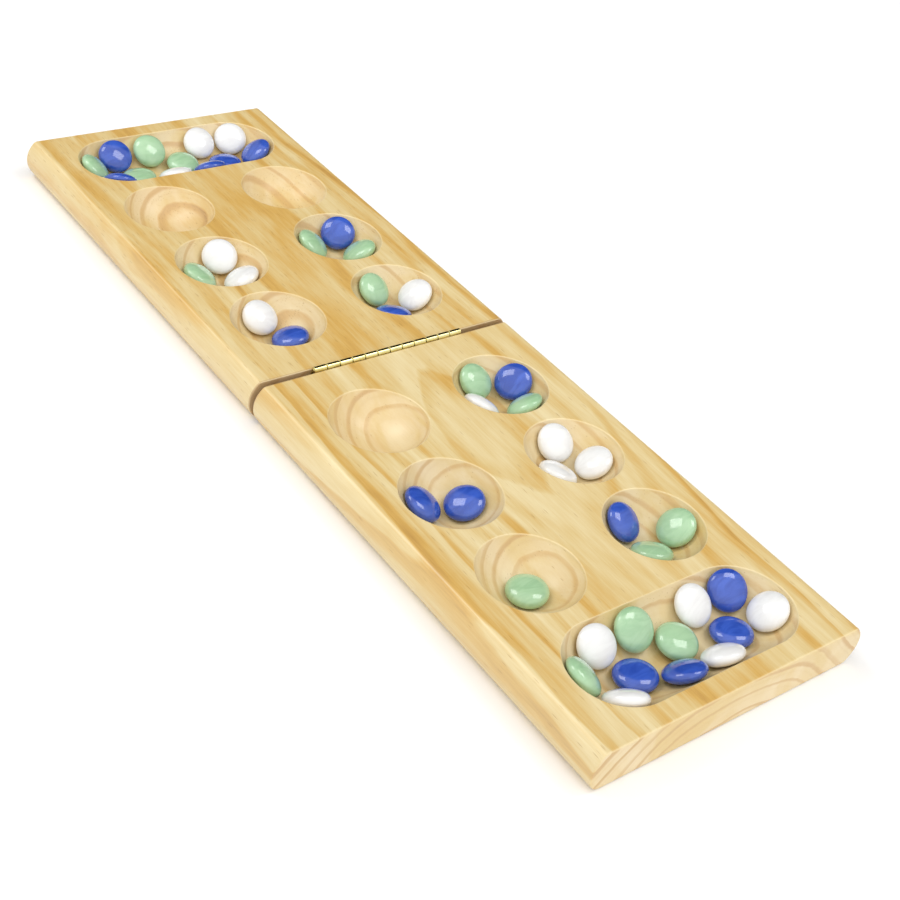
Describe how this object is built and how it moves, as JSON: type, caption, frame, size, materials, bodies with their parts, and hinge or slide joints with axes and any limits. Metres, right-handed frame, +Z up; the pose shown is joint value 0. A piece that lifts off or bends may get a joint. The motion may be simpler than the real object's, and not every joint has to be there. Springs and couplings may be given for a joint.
{
  "type": "folding mancala board",
  "caption": "Folding pine mancala board with rows of round pits, a long store at each end, a brass piano hinge across the middle and loose glass stones.",
  "frame": {"origin": "under the hinge, in the middle of the underside of the opened board", "axes": "+X along the opened board towards the near half, +Y across it, +Z up out of the pits"},
  "size_m": [0.432, 0.1334, 0.0196],
  "materials": {
    "pine": "clear satin lacquer",
    "brass": "polished",
    "glass_green": "glossy opaque glass",
    "glass_blue": "glossy opaque glass",
    "glass_white": "glossy opaque glass"
  },
  "bodies": {
    "near_board": {"near_half": "pine", "hinge_leaf_near": "brass", "hinge_pin": "brass", "hinge_screws_near": "brass"},
    "far_board": {"far_half": "pine", "hinge_leaf_far": "brass", "hinge_screws_far": "brass"},
    "stone_blue_01": {"stone_blue_01": "glass_blue"},
    "stone_blue_02": {"stone_blue_02": "glass_blue"},
    "stone_green_01": {"stone_green_01": "glass_green"},
    "stone_green_02": {"stone_green_02": "glass_green"},
    "stone_blue_03": {"stone_blue_03": "glass_blue"},
    "stone_white_01": {"stone_white_01": "glass_white"},
    "stone_green_03": {"stone_green_03": "glass_green"},
    "stone_white_02": {"stone_white_02": "glass_white"},
    "stone_white_03": {"stone_white_03": "glass_white"},
    "stone_white_04": {"stone_white_04": "glass_white"},
    "stone_blue_04": {"stone_blue_04": "glass_blue"},
    "stone_green_04": {"stone_green_04": "glass_green"},
    "stone_green_05": {"stone_green_05": "glass_green"},
    "stone_white_05": {"stone_white_05": "glass_white"},
    "stone_blue_05": {"stone_blue_05": "glass_blue"},
    "stone_white_06": {"stone_white_06": "glass_white"},
    "stone_green_06": {"stone_green_06": "glass_green"},
    "stone_white_07": {"stone_white_07": "glass_white"},
    "stone_green_07": {"stone_green_07": "glass_green"},
    "stone_white_08": {"stone_white_08": "glass_white"},
    "stone_blue_06": {"stone_blue_06": "glass_blue"},
    "stone_blue_07": {"stone_blue_07": "glass_blue"},
    "stone_green_08": {"stone_green_08": "glass_green"},
    "stone_green_09": {"stone_green_09": "glass_green"},
    "stone_white_09": {"stone_white_09": "glass_white"},
    "stone_blue_08": {"stone_blue_08": "glass_blue"},
    "stone_blue_09": {"stone_blue_09": "glass_blue"},
    "stone_white_10": {"stone_white_10": "glass_white"},
    "stone_white_11": {"stone_white_11": "glass_white"},
    "stone_green_10": {"stone_green_10": "glass_green"},
    "stone_blue_10": {"stone_blue_10": "glass_blue"},
    "stone_green_11": {"stone_green_11": "glass_green"},
    "stone_blue_11": {"stone_blue_11": "glass_blue"},
    "stone_white_12": {"stone_white_12": "glass_white"},
    "stone_white_13": {"stone_white_13": "glass_white"},
    "stone_green_12": {"stone_green_12": "glass_green"},
    "stone_blue_12": {"stone_blue_12": "glass_blue"},
    "stone_white_14": {"stone_white_14": "glass_white"},
    "stone_blue_13": {"stone_blue_13": "glass_blue"},
    "stone_white_15": {"stone_white_15": "glass_white"},
    "stone_blue_14": {"stone_blue_14": "glass_blue"},
    "stone_green_13": {"stone_green_13": "glass_green"},
    "stone_white_16": {"stone_white_16": "glass_white"},
    "stone_green_14": {"stone_green_14": "glass_green"},
    "stone_green_15": {"stone_green_15": "glass_green"},
    "stone_blue_15": {"stone_blue_15": "glass_blue"},
    "stone_blue_16": {"stone_blue_16": "glass_blue"},
    "stone_green_16": {"stone_green_16": "glass_green"}
  },
  "joints": [
    {"name": "fold", "type": "hinge", "parent": "near_board", "child": "far_board", "pos_m": [0, 0, 0.0182], "axis": [0, 1, 0], "range_deg": [0, 180]},
    {"name": "lift_stone_blue_01", "type": "slide", "parent": "near_board", "child": "stone_blue_01", "axis": [0, 0, 1], "range_m": [0, 0.06]},
    {"name": "lift_stone_blue_02", "type": "slide", "parent": "near_board", "child": "stone_blue_02", "axis": [0, 0, 1], "range_m": [0, 0.06]},
    {"name": "lift_stone_green_01", "type": "slide", "parent": "near_board", "child": "stone_green_01", "axis": [0, 0, 1], "range_m": [0, 0.06]},
    {"name": "lift_stone_green_02", "type": "slide", "parent": "near_board", "child": "stone_green_02", "axis": [0, 0, 1], "range_m": [0, 0.06]},
    {"name": "lift_stone_blue_03", "type": "slide", "parent": "near_board", "child": "stone_blue_03", "axis": [0, 0, 1], "range_m": [0, 0.06]},
    {"name": "lift_stone_white_01", "type": "slide", "parent": "near_board", "child": "stone_white_01", "axis": [0, 0, 1], "range_m": [0, 0.06]},
    {"name": "lift_stone_green_03", "type": "slide", "parent": "near_board", "child": "stone_green_03", "axis": [0, 0, 1], "range_m": [0, 0.06]},
    {"name": "lift_stone_white_02", "type": "slide", "parent": "near_board", "child": "stone_white_02", "axis": [0, 0, 1], "range_m": [0, 0.06]},
    {"name": "lift_stone_white_03", "type": "slide", "parent": "near_board", "child": "stone_white_03", "axis": [0, 0, 1], "range_m": [0, 0.06]},
    {"name": "lift_stone_white_04", "type": "slide", "parent": "near_board", "child": "stone_white_04", "axis": [0, 0, 1], "range_m": [0, 0.06]},
    {"name": "lift_stone_blue_04", "type": "slide", "parent": "near_board", "child": "stone_blue_04", "axis": [0, 0, 1], "range_m": [0, 0.06]},
    {"name": "lift_stone_green_04", "type": "slide", "parent": "near_board", "child": "stone_green_04", "axis": [0, 0, 1], "range_m": [0, 0.06]},
    {"name": "lift_stone_green_05", "type": "slide", "parent": "near_board", "child": "stone_green_05", "axis": [0, 0, 1], "range_m": [0, 0.06]},
    {"name": "lift_stone_white_05", "type": "slide", "parent": "far_board", "child": "stone_white_05", "axis": [0, 0, 1], "range_m": [0, 0.06]},
    {"name": "lift_stone_blue_05", "type": "slide", "parent": "far_board", "child": "stone_blue_05", "axis": [0, 0, 1], "range_m": [0, 0.06]},
    {"name": "lift_stone_white_06", "type": "slide", "parent": "far_board", "child": "stone_white_06", "axis": [0, 0, 1], "range_m": [0, 0.06]},
    {"name": "lift_stone_green_06", "type": "slide", "parent": "far_board", "child": "stone_green_06", "axis": [0, 0, 1], "range_m": [0, 0.06]},
    {"name": "lift_stone_white_07", "type": "slide", "parent": "far_board", "child": "stone_white_07", "axis": [0, 0, 1], "range_m": [0, 0.06]},
    {"name": "lift_stone_green_07", "type": "slide", "parent": "far_board", "child": "stone_green_07", "axis": [0, 0, 1], "range_m": [0, 0.06]},
    {"name": "lift_stone_white_08", "type": "slide", "parent": "far_board", "child": "stone_white_08", "axis": [0, 0, 1], "range_m": [0, 0.06]},
    {"name": "lift_stone_blue_06", "type": "slide", "parent": "far_board", "child": "stone_blue_06", "axis": [0, 0, 1], "range_m": [0, 0.06]},
    {"name": "lift_stone_blue_07", "type": "slide", "parent": "far_board", "child": "stone_blue_07", "axis": [0, 0, 1], "range_m": [0, 0.06]},
    {"name": "lift_stone_green_08", "type": "slide", "parent": "far_board", "child": "stone_green_08", "axis": [0, 0, 1], "range_m": [0, 0.06]},
    {"name": "lift_stone_green_09", "type": "slide", "parent": "far_board", "child": "stone_green_09", "axis": [0, 0, 1], "range_m": [0, 0.06]},
    {"name": "lift_stone_white_09", "type": "slide", "parent": "near_board", "child": "stone_white_09", "axis": [0, 0, 1], "range_m": [0, 0.06]},
    {"name": "lift_stone_blue_08", "type": "slide", "parent": "near_board", "child": "stone_blue_08", "axis": [0, 0, 1], "range_m": [0, 0.06]},
    {"name": "lift_stone_blue_09", "type": "slide", "parent": "near_board", "child": "stone_blue_09", "axis": [0, 0, 1], "range_m": [0, 0.06]},
    {"name": "lift_stone_white_10", "type": "slide", "parent": "near_board", "child": "stone_white_10", "axis": [0, 0, 1], "range_m": [0, 0.06]},
    {"name": "lift_stone_white_11", "type": "slide", "parent": "near_board", "child": "stone_white_11", "axis": [0, 0, 1], "range_m": [0, 0.06]},
    {"name": "lift_stone_green_10", "type": "slide", "parent": "near_board", "child": "stone_green_10", "axis": [0, 0, 1], "range_m": [0, 0.06]},
    {"name": "lift_stone_blue_10", "type": "slide", "parent": "near_board", "child": "stone_blue_10", "axis": [0, 0, 1], "range_m": [0, 0.06]},
    {"name": "lift_stone_green_11", "type": "slide", "parent": "near_board", "child": "stone_green_11", "axis": [0, 0, 1], "range_m": [0, 0.06]},
    {"name": "lift_stone_blue_11", "type": "slide", "parent": "near_board", "child": "stone_blue_11", "axis": [0, 0, 1], "range_m": [0, 0.06]},
    {"name": "lift_stone_white_12", "type": "slide", "parent": "near_board", "child": "stone_white_12", "axis": [0, 0, 1], "range_m": [0, 0.06]},
    {"name": "lift_stone_white_13", "type": "slide", "parent": "near_board", "child": "stone_white_13", "axis": [0, 0, 1], "range_m": [0, 0.06]},
    {"name": "lift_stone_green_12", "type": "slide", "parent": "near_board", "child": "stone_green_12", "axis": [0, 0, 1], "range_m": [0, 0.06]},
    {"name": "lift_stone_blue_12", "type": "slide", "parent": "far_board", "child": "stone_blue_12", "axis": [0, 0, 1], "range_m": [0, 0.06]},
    {"name": "lift_stone_white_14", "type": "slide", "parent": "far_board", "child": "stone_white_14", "axis": [0, 0, 1], "range_m": [0, 0.06]},
    {"name": "lift_stone_blue_13", "type": "slide", "parent": "far_board", "child": "stone_blue_13", "axis": [0, 0, 1], "range_m": [0, 0.06]},
    {"name": "lift_stone_white_15", "type": "slide", "parent": "far_board", "child": "stone_white_15", "axis": [0, 0, 1], "range_m": [0, 0.06]},
    {"name": "lift_stone_blue_14", "type": "slide", "parent": "far_board", "child": "stone_blue_14", "axis": [0, 0, 1], "range_m": [0, 0.06]},
    {"name": "lift_stone_green_13", "type": "slide", "parent": "far_board", "child": "stone_green_13", "axis": [0, 0, 1], "range_m": [0, 0.06]},
    {"name": "lift_stone_white_16", "type": "slide", "parent": "far_board", "child": "stone_white_16", "axis": [0, 0, 1], "range_m": [0, 0.06]},
    {"name": "lift_stone_green_14", "type": "slide", "parent": "far_board", "child": "stone_green_14", "axis": [0, 0, 1], "range_m": [0, 0.06]},
    {"name": "lift_stone_green_15", "type": "slide", "parent": "far_board", "child": "stone_green_15", "axis": [0, 0, 1], "range_m": [0, 0.06]},
    {"name": "lift_stone_blue_15", "type": "slide", "parent": "far_board", "child": "stone_blue_15", "axis": [0, 0, 1], "range_m": [0, 0.06]},
    {"name": "lift_stone_blue_16", "type": "slide", "parent": "far_board", "child": "stone_blue_16", "axis": [0, 0, 1], "range_m": [0, 0.06]},
    {"name": "lift_stone_green_16", "type": "slide", "parent": "far_board", "child": "stone_green_16", "axis": [0, 0, 1], "range_m": [0, 0.06]}
  ]
}
